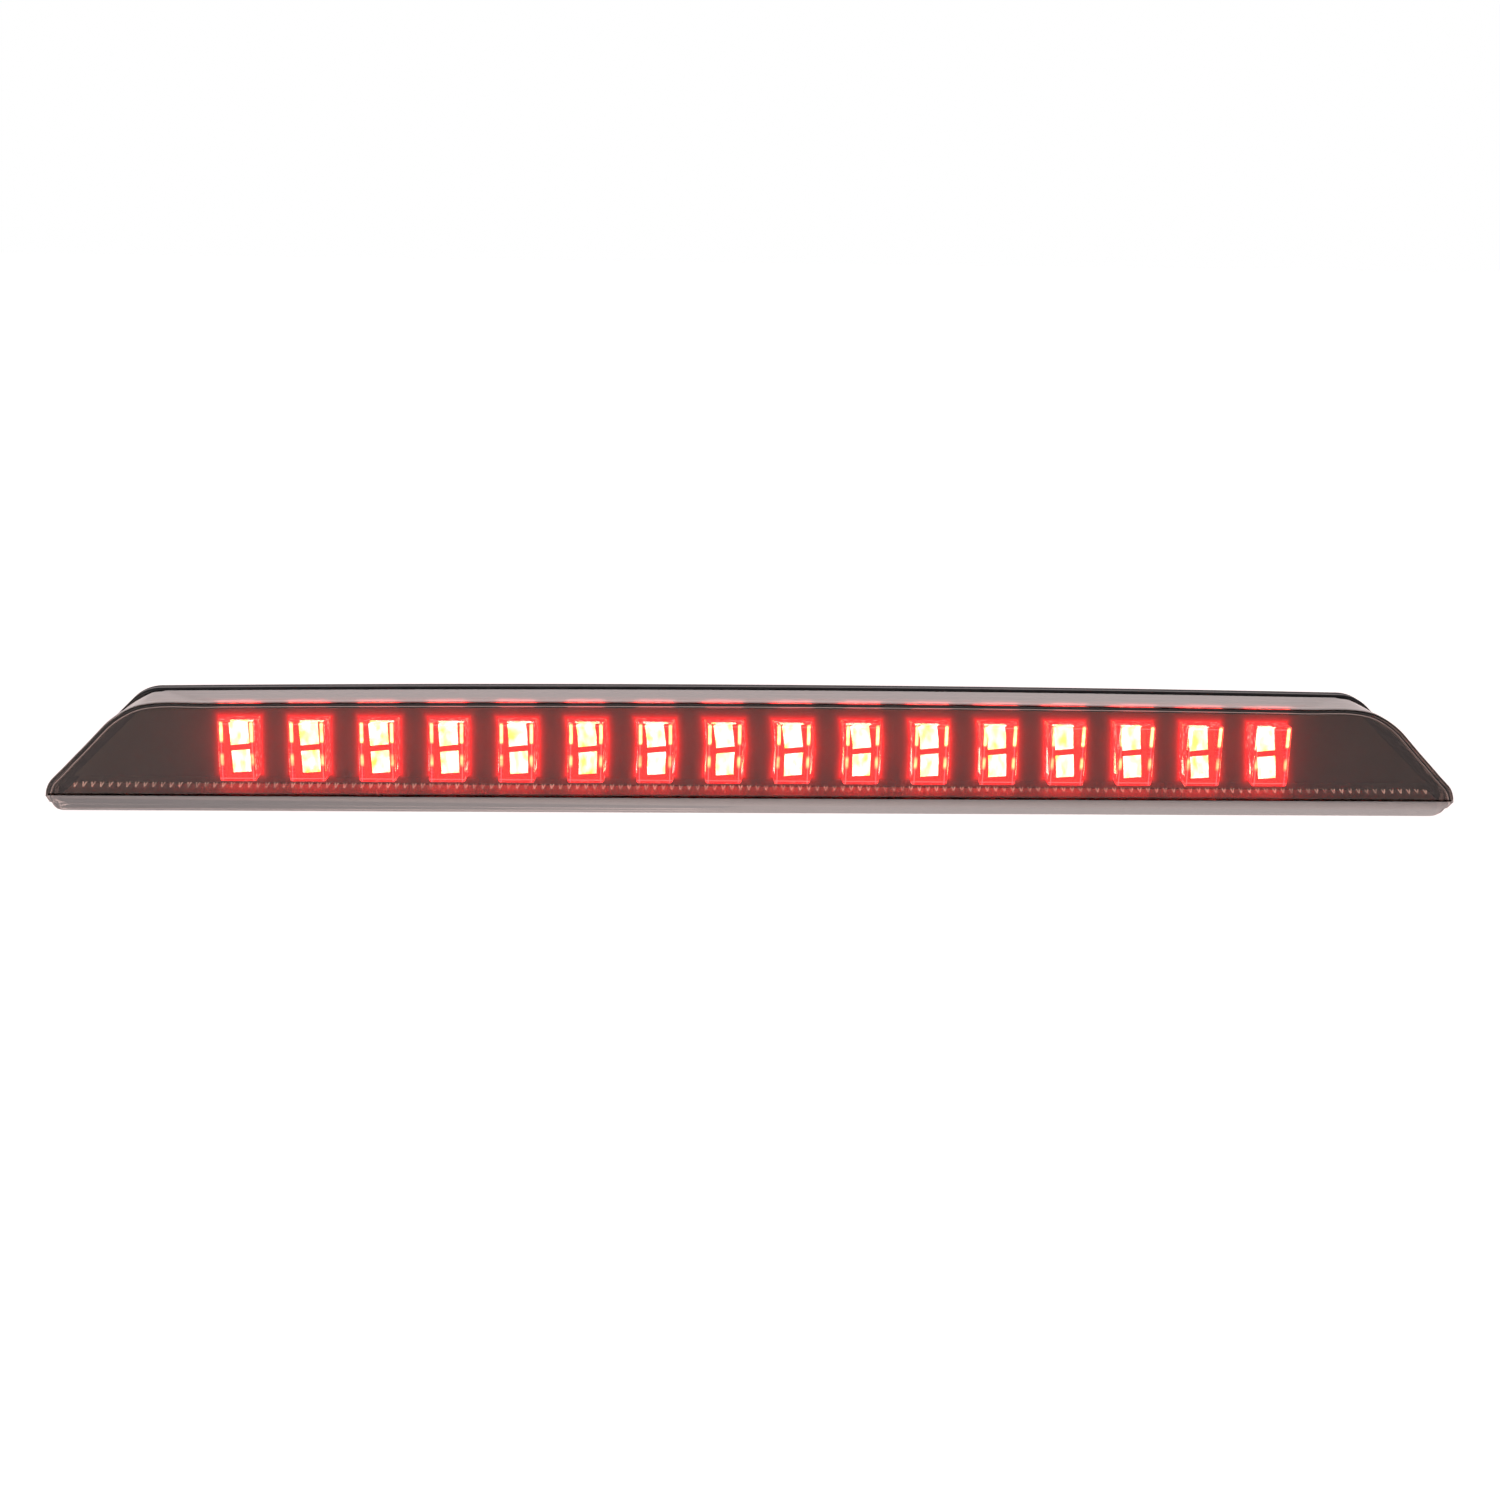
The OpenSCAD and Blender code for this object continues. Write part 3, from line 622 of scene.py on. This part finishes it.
# %% Tray, gasket and small-part finishes
black_tray = plastic("black_tray", (0.025, 0.025, 0.028), rough=0.5, shade=0.25, scale=150, bump=0.4)
gasket_foam = plastic("gasket_foam", (0.022, 0.022, 0.024), rough=0.85, shade=0.35, scale=500, bump=0.9,
                      bump_mm=0.2)
hot_melt = plastic("hot_melt_bead", (0.05, 0.045, 0.045), rough=0.35, shade=0.2, scale=80, bump=0.5)
chip_black = plastic("chip_black", (0.03, 0.03, 0.03), rough=0.5, shade=0.2, scale=600, bump=0.3)
capacitor = plastic("capacitor_ceramic", (0.45, 0.32, 0.2), rough=0.4, shade=0.1, scale=600, bump=0.1)
socket_plastic = plastic("socket_plastic", (0.025, 0.025, 0.028), rough=0.38, shade=0.2, scale=220,
                         bump=0.3)
tinned = plastic("tinned_terminal", (0.75, 0.73, 0.68), rough=0.22, shade=0.06, scale=300, Metallic=1.0)
zinc_steel = plastic("zinc_steel", (0.62, 0.63, 0.65), rough=0.3, shade=0.1, scale=260, Metallic=1.0)
vent_plastic = plastic("vent_plastic", (0.05, 0.05, 0.055), rough=0.45, shade=0.2, scale=220, bump=0.2)

# %% [markdown]
# ### Finishes onto the CAD nodes
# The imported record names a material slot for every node. Each node gets the finish of its
# slot, so the pieces that aren't modelled again below already look right.

# %% Finishes by slot
FINISH = {
    "smoked_lens": smoked_lens, "hot_melt_bead": hot_melt, "black_tray": black_tray,
    "gasket_foam": gasket_foam, "dark_bezel": dark_bezel, "prism_plastic": prism_plastic,
    "red_optic": red_optic, "led_package": led_body, "white_reflector": white_reflector,
    "board_green": board_green, "chip_black": chip_black, "capacitor_ceramic": capacitor,
    "socket_plastic": socket_plastic, "tinned_terminal": tinned, "zinc_steel": zinc_steel,
    "vent_plastic": vent_plastic,
}
slot_of = {part["node"]: part["material_slot"] for part in frame["record"]["subparts"]}
for node, obj in frame["nodes"].items():
    obj.data.materials.clear()
    obj.data.materials.append(FINISH[slot_of[node]])
print(len(FINISH), "finishes on", len(frame["nodes"]), "CAD nodes")

# %% [markdown]
# ## Tools for the modelled pieces
# The pieces below share four small tools: a box at a place, one mesh added to another,
# rounded edges, and the step that puts a finished piece where its CAD node was.

# %% Modelling tools
def box_at(bm, centre, size):
    """Adds a box of a given size round a centre and returns its faces and edges."""
    place = Matrix.Translation(centre) @ Matrix.Diagonal((*size, 1))
    made = set(bmesh.ops.create_cube(bm, size=1, matrix=place)["verts"])
    faces = [f for f in bm.faces if made.issuperset(f.verts)]
    edges = [e for e in bm.edges if made.issuperset(e.verts)]
    return faces, edges


def pour(bm, source):
    """Adds another bmesh to this one and frees it."""
    mesh = bpy.data.meshes.new("poured")
    source.to_mesh(mesh)
    source.free()
    bm.from_mesh(mesh)
    bpy.data.meshes.remove(mesh)


def round_edges(bm, edges, offset, segments):
    bmesh.ops.bevel(bm, geom=edges, offset=offset, segments=segments, profile=0.5, affect="EDGES",
                    material=-1)


def stand_for(piece, node, *materials):
    """Puts a modelled piece in place of a CAD node, with that node's material slot."""
    for mat in materials or (FINISH[slot_of[node]],):
        piece.data.materials.append(mat)
    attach(piece, "root")
    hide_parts(node)
    return piece


# %% [markdown]
# ## The lens
# The real lens is one moulding: a leaning face with a proud cap, and a skirt that runs back
# to the tray. It could be cut from a block, but a loft is closer to the mould: four copies
# of the wedge-ended outline are bridged and the slanting bottom is sliced off with one
# plane. The same loft moved inward makes the room inside. Its walls are turned over and
# joined to the outer ones round the rear edge, which gives one closed shell.

# %% The wedge-ended outline
def is_slant(edge):
    """True for the long straight edges that run at 45 degrees."""
    run = edge.verts[0].co - edge.verts[1].co
    return abs(abs(run.x) - abs(run.z)) < 0.01 * MM and run.length > 4 * MM


def outline(bm, y_of, inset, top, brow_r, sweep_r, rise):
    """Draws the outline as one face. y_of gives the depth of a point from its height."""
    half, z_low = HALF - inset, Z_KEEL + inset
    slant = math.radians(15)
    tip_t = (TIP_R - inset) * math.tan(math.pi / 8)
    brow_t = (brow_r - inset) * math.tan(slant)
    sweep_t = (sweep_r - inset) * math.tan(slant / 2)
    edge = HALF - TIP_R + CREASE_Z + (TIP_R - inset) * math.sqrt(2)
    reach = brow_t + sweep_t
    sweep_x = edge - (top - inset) - reach * (math.cos(slant) - math.sin(slant))
    brow = (sweep_x + reach * math.cos(slant), top - inset - reach * math.sin(slant))
    # each corner: x, z, length of its rounding along the edges, segments
    right = [(half - TUCK, z_low, max(LOW_R - inset, 0.5 * MM), 6), (half, CREASE_Z - 0.05 * MM, 0, 0),
             (half, CREASE_Z + tip_t, tip_t * 0.98, 8), (*brow, brow_t, 8),
             (sweep_x, top - inset, sweep_t, 10)]
    corners = right + [(-x, z, t, n) for x, z, t, n in reversed(right)]
    bm.faces.new([bm.verts.new((x, 0, z)) for x, z, t, n in corners])
    for x, z, t, n in right:
        if n:
            pair = [v for v in bm.verts if math.hypot(abs(v.co.x) - x, v.co.z - z) < 0.001 * MM]
            bmesh.ops.bevel(bm, geom=pair, offset=t, segments=n, offset_type="OFFSET", profile=0.5,
                            affect="VERTICES", material=-1)
    bmesh.ops.bisect_edges(bm, edges=[e for e in bm.edges if is_slant(e)], cuts=10)
    # the shoulders stand a little fuller than plain arcs
    for v in bm.verts:
        along = (HALF - abs(v.co.x) - 4 * MM) / SHOULDER_LEN
        if v.co.z > CREASE_Z + 1 * MM and 0 < along < 1:
            v.co.z += rise * math.sin(math.pi * along) ** 2
    longest = max(bm.edges, key=lambda e: e.calc_length() * (e.verts[0].co.z > CREASE_Z))
    bmesh.ops.subdivide_edges(bm, edges=[longest], cuts=24)
    middle = (top + Z_KEEL) / 2
    for v in bm.verts:
        if v.co.z > middle:
            v.co.z -= v.co.x ** 2 / (2 * CROWN_R) * (v.co.z - middle) / (top - middle)
        v.co.y = y_of(v.co.z)


def face_plane(offset):
    """Depth of the leaning face, moved back by an offset, at a given height."""
    return lambda z: CREASE_Y - (z - CREASE_Z) * LEAN + offset


# %% Lofted blank
def lens_blank(inset, face_wall=0):
    """A closed body with the lens's outer shape, moved inward at the sides and at the face."""
    step, narrow = 0.35 * MM, 0.5 * MM
    front = face_wall * math.hypot(1, LEAN)
    cap_shape = (Z_CAP, BROW_R, SWEEP_R, SHOULDER_RISE)
    rings = [
        (face_plane(front), inset, *cap_shape),
        (face_plane(front + CAP_DEPTH), inset, *cap_shape),
        (face_plane(front + CAP_DEPTH + step), inset + narrow, *cap_shape),
        (lambda z: Y_REAR, inset + CAP_PROUD, Z_SKIRT + CAP_PROUD, SKIRT_R, SKIRT_R, 0),
    ]
    bm = bmesh.new()
    loops = []
    for ring in rings:
        before = set(bm.edges)
        single = bmesh.new()
        outline(single, *ring)
        pour(bm, single)
        loops.append([e for e in bm.edges if e not in before])
    faces = sorted(bm.faces, key=lambda f: f.calc_center_median().y)
    bmesh.ops.delete(bm, geom=faces[1:3], context="FACES_ONLY")
    for a, b in zip(loops, loops[1:]):
        bmesh.ops.bridge_loops(bm, edges=a + b)
    # the slanting bottom wall is sliced off with one plane, also moved inward
    slope = Vector((0, KEEL, 1)).normalized()
    bmesh.ops.bisect_plane(bm, geom=bm.verts[:] + bm.edges[:] + bm.faces[:], plane_no=-slope,
                           plane_co=Vector((0, CREASE_Y, CREASE_Z)) + slope * inset, clear_outer=True,
                           dist=1e-7)
    bmesh.ops.holes_fill(bm, edges=[e for e in bm.edges if e.is_boundary])
    bmesh.ops.recalc_face_normals(bm, faces=bm.faces)
    return bm


def open_rear(bm):
    """Removes the flat rear face and rounds the front rim."""
    rear = [f for f in bm.faces if f.normal.y > 0.99 and abs(f.calc_center_median().y - Y_REAR) < 1e-5]
    bmesh.ops.delete(bm, geom=rear, context="FACES")
    front = max(bm.faces, key=lambda f: f.calc_area())
    rim = [e for e in front.edges if e.calc_face_angle(0) > 0.3]
    round_edges(bm, rim, RIM_FILLET, 4)


# %% Lens shell
lens_bm = lens_blank(0)
print("lens blank:", round(lens_bm.calc_volume() * 1e6, 1), "cm3")
open_rear(lens_bm)
inner_bm = lens_blank(SIDE_WALL, WALL)
print("room inside:", round(inner_bm.calc_volume() * 1e6, 1), "cm3")
open_rear(inner_bm)
bmesh.ops.reverse_faces(inner_bm, faces=inner_bm.faces)
pour(lens_bm, inner_bm)
bmesh.ops.bridge_loops(lens_bm, edges=[e for e in lens_bm.edges if e.is_boundary])
lens = stand_for(new_mesh("lens_cover", lens_bm), "outer_lens")
print("lens faces:", len(lens.data.polygons))

# %% [markdown]
# ## Optic blocks
# Sixteen clear blocks carry the light from the packages to the face. Each is a short light
# pipe: a flange behind the bezel, flanks that taper a little, and a front that leans with
# the lens. A cube does for the start: its corners are moved into place, its edges are
# rounded because a sharp moulded edge would show no bright line, and the flange grows out of
# its rear face. It stays one solid, so light crosses each surface only once. A bar in the
# bezel's finish closes the window above the block.

# %% One optic block
def front_depth(z):
    """Depth of a block's leaning front at a given height."""
    return block_low.y + (NOSE_Z - z) * LEAN


def optic_block(x):
    bm = bmesh.new()
    bmesh.ops.create_cube(bm, size=1)
    for v in bm.verts:
        in_front = v.co.y < 0
        v.co.x *= FACE_W if in_front else BLOCK_W
        v.co.z = CELL_Z + v.co.z * BLOCK_H - (NOSE_DROP if in_front else 0)
        v.co.y = front_depth(v.co.z) if in_front else FLANGE_FRONT
        if not in_front and v.co.z > CELL_Z:
            v.co.z -= TOP_CUT
    long_edges = [e for e in bm.edges if abs(e.verts[0].co.x - e.verts[1].co.x) < 1 * MM
                  and abs(e.verts[0].co.z - e.verts[1].co.z) < 2 * MM]
    round_edges(bm, long_edges, 0.7 * MM, 3)
    face = min(bm.faces, key=lambda f: f.calc_center_median().y)
    round_edges(bm, list(face.edges), 0.25 * MM, 2)
    # the flange
    rear = max(bm.faces, key=lambda f: f.calc_center_median().y)
    wide = bmesh.ops.extrude_discrete_faces(bm, faces=[rear])["faces"][0]
    for v in wide.verts:
        v.co.x += math.copysign(FLANGE_LIP, v.co.x)
        v.co.z += math.copysign(FLANGE_LIP, v.co.z - CELL_Z)
    thick = bmesh.ops.extrude_discrete_faces(bm, faces=[wide])["faces"][0]
    bmesh.ops.translate(bm, verts=thick.verts, vec=(0, FLANGE_T - REAR_GAP, 0))
    bmesh.ops.recalc_face_normals(bm, faces=bm.faces)
    # the bar that closes the window above the block
    bar_low, bar_high = CELL_Z + BLOCK_H / 2 - TOP_CUT + 0.1 * MM, CELL_Z + WINDOW_H / 2 - 0.02 * MM
    bar_faces, _ = box_at(bm, (0, (bezel_low.y + FLANGE_FRONT) / 2 - 0.05 * MM, (bar_low + bar_high) / 2),
                          (WINDOW_W - 0.04 * MM, FLANGE_FRONT - bezel_low.y - 0.1 * MM, bar_high - bar_low))
    for f in bar_faces:
        f.material_index = 1
    bmesh.ops.translate(bm, verts=bm.verts, vec=(x, 0, 0))
    return bm


for number, x in enumerate(CELL_X, 1):
    block = new_mesh(f"block_{number:02d}", optic_block(x))
    stand_for(block, f"optic_block_{number:02d}", red_optic, dark_bezel)
print("optic blocks:", CELLS, "faces each:", len(block.data.polygons))

# %% [markdown]
# ## LED packages
# Each cell has two white-bodied packages, one above the other. A package is a small box with
# a shallow tray of phosphor on top. The tray is an inset that is pushed in, and only its
# bottom glows, which leaves the thin pale rim that shows round a real one.

# %% LED pairs
led_low, led_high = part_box("led_pair_01")
LED_W = led_high.x - led_low.x
LED_H = 7 * MM
LED_STEP = (led_high.z - led_low.z) - LED_H


def led_pair(x):
    bm = bmesh.new()
    for side in (-0.5, 0.5):
        centre = Vector((x, (led_low.y + led_high.y) / 2, CELL_Z + side * LED_STEP))
        faces, _ = box_at(bm, centre, (LED_W, led_high.y - led_low.y, LED_H))
        top = min(faces, key=lambda f: f.calc_center_median().y)
        bmesh.ops.inset_individual(bm, faces=[top], thickness=0.35 * MM, depth=-0.25 * MM)
        top.material_index = 1
    return bm


for number, x in enumerate(CELL_X, 1):
    pair = new_mesh(f"leds_{number:02d}", led_pair(x))
    stand_for(pair, f"led_pair_{number:02d}", led_body, led_glow)
print("LED pairs:", CELLS)

# %% [markdown]
# ## Prism strip
# Below the cells a slanting bar runs from the lens's lower edge up to the bezel. Its section
# is six-sided, so it is drawn once and pushed along the lamp. The ends follow the slanted
# ends of the lens. The upright part at the top carries on the bezel's face. Its teeth are
# too small to need a shape, so its finish draws them as painted highlights.

# %% Prism strip
bottom_gap, face_gap = SIDE_WALL + 0.3 * MM, WALL + 0.5 * MM
END_GAP = 4.2 * MM


def floor_at(y, gap):
    """Height of the slanting bottom wall at a depth, moved inward by a gap."""
    return CREASE_Z - (y - CREASE_Y) * KEEL + gap * math.hypot(1, KEEL)


def strip_section():
    """The six corners of the bar as depth and height, front toe first."""
    toe_y = CREASE_Y + face_gap * math.hypot(1, LEAN)
    toe = (toe_y, floor_at(toe_y, bottom_gap))
    lip = (toe_y - 0.8 * MM * LEAN, toe[1] + 0.8 * MM)
    front_y, top_z = bezel_low.y, bezel_low.z
    back_y = front_y + 1 * MM
    return [toe, lip, (front_y, top_z - STRIP_UPRIGHT), (front_y, top_z), (back_y, top_z),
            (back_y, floor_at(back_y, bottom_gap))]


def prism_bar():
    bm = bmesh.new()
    section = bm.faces.new([bm.verts.new((-1, y, z)) for y, z in strip_section()])
    grown = bmesh.ops.extrude_face_region(bm, geom=[section], use_keep_orig=True)["geom"]
    far_end = [g for g in grown if isinstance(g, bmesh.types.BMVert)]
    bmesh.ops.translate(bm, verts=far_end, vec=(2, 0, 0))
    bmesh.ops.recalc_face_normals(bm, faces=bm.faces)
    for v in bm.verts:
        v.co.x = math.copysign(HALF - END_GAP - max(v.co.z - CREASE_Z, 0), v.co.x)
    for f in bm.faces:
        f.material_index = 1 if f.normal.y < -0.99 else 0
    round_edges(bm, [e for e in bm.edges if e.calc_length() > HALF], 0.2 * MM, 2)
    return bm


stand_for(new_mesh("prism_bar", prism_bar()), "prism_strip", prism_plastic, dark_bezel)
print("prism strip section mm:", [(round(y / MM, 1), round(z / MM, 1)) for y, z in strip_section()])

# %% [markdown]
# ## Studs
# The two studs hold the lamp on. A thread could be carved with a texture, but a studio
# picture of the back shows its outline, so it is made in shape: one ridge of the thread is
# drawn once and swept round the axis while it climbs one pitch a turn.

# %% Threaded studs
THREAD, THREAD_DEPTH, THREAD_STEPS = 0.8 * MM, 0.5 * MM, 20
SHANK_R, NECK_R, HEAD_T = 2.5 * MM, 3.2 * MM, 2.2 * MM


def revolve(bm, points, centre):
    """Spins a profile of radius and depth pairs into a closed round body."""
    verts = [bm.verts.new(Vector((centre.x + r, y, centre.z))) for r, y in points]
    edges = [bm.edges.new(pair) for pair in zip(verts, verts[1:])]
    bmesh.ops.spin(bm, geom=verts + edges, cent=centre, axis=(0, 1, 0), angle=2 * math.pi, steps=32,
                   use_merge=True)
    bmesh.ops.remove_doubles(bm, verts=bm.verts, dist=0.001 * MM)


def thread_ridge(centre, start, turns):
    """The surface of the thread: one V ridge swept up and round, closed at both ends."""
    bm = bmesh.new()
    profile = [(SHANK_R, 0), (SHANK_R - THREAD_DEPTH - 0.05 * MM, THREAD / 2), (SHANK_R, THREAD)]
    verts = [bm.verts.new((centre.x + r, start + y, centre.z)) for r, y in profile]
    edges = [bm.edges.new(pair) for pair in zip(verts, verts[1:])]
    bmesh.ops.spin(bm, geom=verts + edges, cent=centre, axis=(0, 1, 0), angle=2 * math.pi * turns,
                   steps=THREAD_STEPS * turns, dvec=(0, THREAD / THREAD_STEPS, 0))
    bmesh.ops.remove_doubles(bm, verts=bm.verts, dist=0.01 * MM)
    bmesh.ops.holes_fill(bm, edges=[e for e in bm.edges if e.is_boundary])
    return bm


def threaded_stud(node):
    low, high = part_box(node)
    centre = Vector(((low.x + high.x) / 2, 0, (low.z + high.z) / 2))
    head_r, rounded = (high.x - low.x) / 2, 0.3 * MM
    root, start = SHANK_R - THREAD_DEPTH, gasket_low.y
    bm = bmesh.new()
    # the captive head and the neck, then the core with its chamfered tip
    revolve(bm, [(0, low.y), (head_r - rounded, low.y), (head_r, low.y + rounded),
                 (head_r, low.y + HEAD_T), (NECK_R, low.y + HEAD_T), (NECK_R, start - rounded),
                 (SHANK_R, start), (0, start)], centre)
    revolve(bm, [(0, start), (root, start), (root, high.y - 0.5 * MM), (root - 0.5 * MM, high.y),
                 (0, high.y)], centre)
    pour(bm, thread_ridge(centre, start, int((high.y - start) / THREAD) - 2))
    bmesh.ops.recalc_face_normals(bm, faces=bm.faces)
    return bm


for side in ("left", "right"):
    stud = new_mesh(f"stud_{side}", threaded_stud(f"mounting_stud_{side}"))
    stand_for(stud, f"mounting_stud_{side}")
    print("stud", side, "faces:", len(stud.data.polygons))

# %% [markdown]
# ## Connector socket
# The socket is a rectangular shroud. It starts as a box with rounded long edges. Its rear
# face is inset by the wall and pushed in, which makes the cavity with the least work, and
# then the rim is rounded. The terminal blades inside stay as the CAD has them.

# %% Connector socket
SHROUD_W, SHROUD_H, SHROUD_WALL, SHROUD_DEPTH = 19 * MM, 13 * MM, 1.5 * MM, 11 * MM


def shroud():
    low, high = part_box("connector_socket")
    centre_x = sum(corner.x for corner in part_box("terminal_pins")) / 2
    bm = bmesh.new()
    box_at(bm, (centre_x, (low.y + high.y) / 2, CELL_Z), (SHROUD_W, high.y - low.y, SHROUD_H))
    round_edges(bm, [e for e in bm.edges if abs(e.verts[0].co.y - e.verts[1].co.y) > 3 * MM], 1.2 * MM, 4)
    # the cavity
    mouth = max(bm.faces, key=lambda f: f.calc_center_median().y)
    bmesh.ops.inset_region(bm, faces=[mouth], thickness=SHROUD_WALL, use_even_offset=True)
    inner = bmesh.ops.extrude_discrete_faces(bm, faces=[mouth])["faces"][0]
    bmesh.ops.translate(bm, verts=inner.verts, vec=(0, -SHROUD_DEPTH, 0))
    rims = [e for e in bm.edges if all(abs(v.co.y - high.y) < 0.01 * MM for v in e.verts)
            and e.calc_face_angle(0) > 1]
    round_edges(bm, rims, 0.25 * MM, 2)
    # the inner flange and the latch rib on top
    for size, y, z in (((22 * MM, 1.3 * MM, 16 * MM), low.y + 0.65 * MM, CELL_Z),
                       ((4 * MM, 2.5 * MM, 2 * MM), high.y - 2.75 * MM, CELL_Z + SHROUD_H / 2)):
        round_edges(bm, box_at(bm, (centre_x, y, z), size)[1], 0.2 * MM, 2)
    return bm


socket_piece = stand_for(new_mesh("socket_shroud", shroud()), "connector_socket")
print("socket faces:", len(socket_piece.data.polygons))
